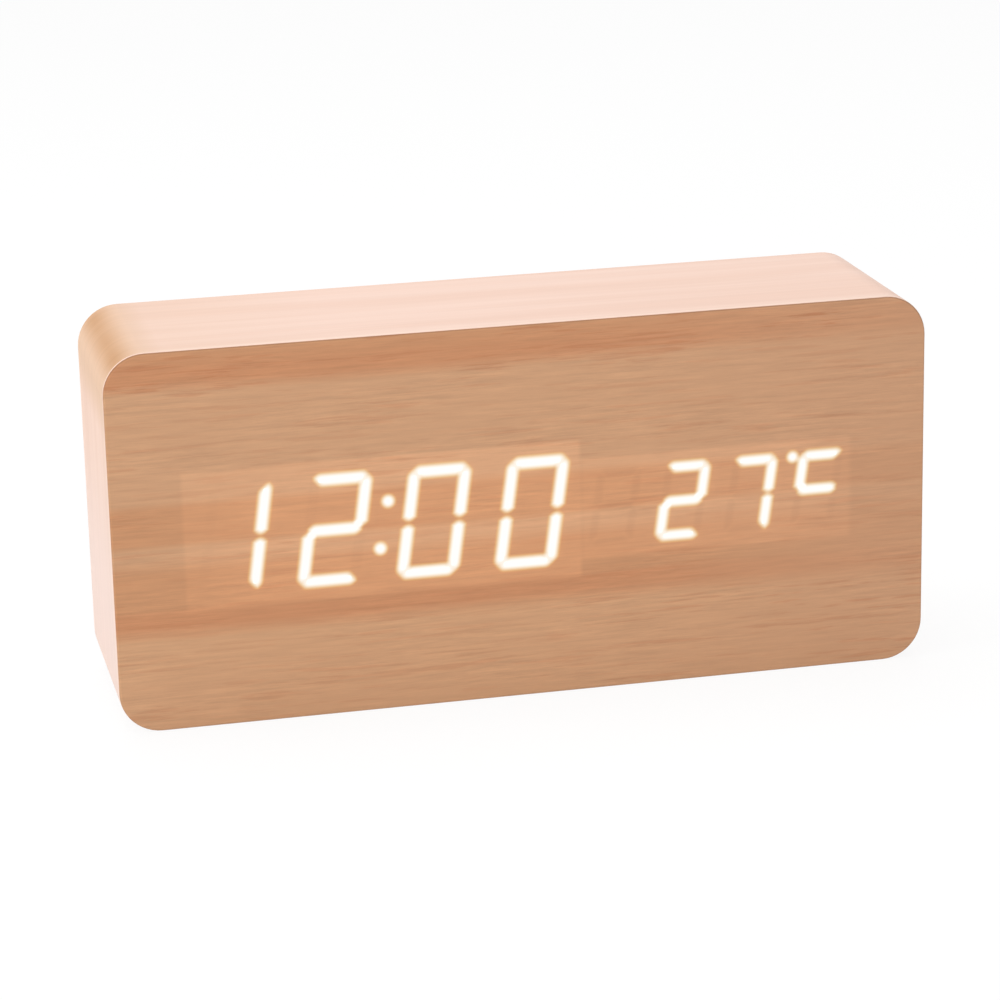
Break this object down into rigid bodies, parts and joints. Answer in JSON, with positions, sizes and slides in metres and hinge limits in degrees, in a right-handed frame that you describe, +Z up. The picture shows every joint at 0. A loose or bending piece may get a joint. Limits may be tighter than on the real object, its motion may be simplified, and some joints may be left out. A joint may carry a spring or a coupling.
{
  "type": "digital led desk clock",
  "caption": "Wood-look block desk clock with LED digits glowing through its face, and at the back a recessed plate with buttons, sound switch, power jack and hinged battery door.",
  "frame": {"origin": "middle of the base, on the surface that the clock stands on", "axes": "+X to the right seen from the front, +Y to the back (the face looks along -Y), +Z up"},
  "size_m": [0.15, 0.0392, 0.0695],
  "materials": {
    "wood_film": "satin printed wood-grain film",
    "wood_block": "satin wood-grain film over fibreboard",
    "display_case": "matte moulded plastic",
    "lit_segment": "glowing diffusing resin",
    "dark_segment": "unlit diffusing resin",
    "led_chip": "small moulded lamp",
    "circuit_board": "green solder mask",
    "inner_screw": "zinc plated",
    "outer_screw": "blackened steel",
    "chip_black": "moulded black",
    "bright_can": "bright drawn metal",
    "capacitor_sleeve": "shrunk sleeve",
    "connector_white": "moulded nylon",
    "ribbon_grey": "ribbed insulation",
    "switch_body": "moulded black",
    "plunger": "moulded black",
    "button_black": "fine matte",
    "jack_black": "moulded black",
    "jack_pin": "plated brass",
    "sensor_bead": "dipped resin",
    "rear_plastic": "fine moulded texture",
    "cell_wrap": "printed sleeve over steel",
    "contact_plate": "nickel plated",
    "wire_red": "insulation",
    "wire_black": "insulation"
  },
  "bodies": {
    "case": {"front_film": "wood_film", "front_board": "wood_block", "case_ring": "wood_block", "time_display_case": "display_case", "temp_display_case": "display_case", "time_segments_lit": "lit_segment", "temp_segments_lit": "lit_segment", "time_segments_unlit": "dark_segment", "temp_segments_unlit": "dark_segment", "led_chips": "led_chip", "display_board": "circuit_board", "control_board": "circuit_board", "display_board_screws": "inner_screw", "control_board_screws": "inner_screw", "controller_chip": "chip_black", "segment_resistors": "chip_black", "clock_crystal": "bright_can", "filter_capacitor": "capacitor_sleeve", "display_connector": "connector_white", "control_connector": "connector_white", "ribbon_cable": "ribbon_grey", "tact_switch_bodies": "switch_body", "sound_switch_body": "bright_can", "power_jack_body": "jack_black", "power_jack_pin": "jack_pin", "microphone": "bright_can", "buzzer": "chip_black", "temperature_sensor": "sensor_bead", "rear_plate": "rear_plastic", "rear_plate_screws": "outer_screw", "battery_tray": "rear_plastic", "battery_cells": "cell_wrap", "battery_contacts": "contact_plate", "battery_springs": "contact_plate", "battery_wire_red": "wire_red", "battery_wire_black": "wire_black"},
    "down_button": {"down_button": "button_black", "down_plunger": "plunger"},
    "set_button": {"set_button": "button_black", "set_plunger": "plunger"},
    "up_button": {"up_button": "button_black", "up_plunger": "plunger"},
    "sound_switch": {"sound_switch_knob": "button_black"},
    "battery_door": {"battery_door": "rear_plastic"}
  },
  "joints": [
    {"name": "down_button_press", "type": "slide", "parent": "case", "child": "down_button", "axis": [0, -1, 0], "range_m": [0, 0.0005], "stiffness_N_per_m": 400, "springref_m": -0.001},
    {"name": "set_button_press", "type": "slide", "parent": "case", "child": "set_button", "axis": [0, -1, 0], "range_m": [0, 0.0005], "stiffness_N_per_m": 400, "springref_m": -0.001},
    {"name": "up_button_press", "type": "slide", "parent": "case", "child": "up_button", "axis": [0, -1, 0], "range_m": [0, 0.0005], "stiffness_N_per_m": 400, "springref_m": -0.001},
    {"name": "sound_switch_slide", "type": "slide", "parent": "case", "child": "sound_switch", "axis": [1, 0, 0], "range_m": [0, 0.002]},
    {"name": "battery_door_hinge", "type": "hinge", "parent": "case", "child": "battery_door", "pos_m": [0.0284, 0.0174, 0.0526], "axis": [1, 0, 0], "range_deg": [0, 95]}
  ]
}
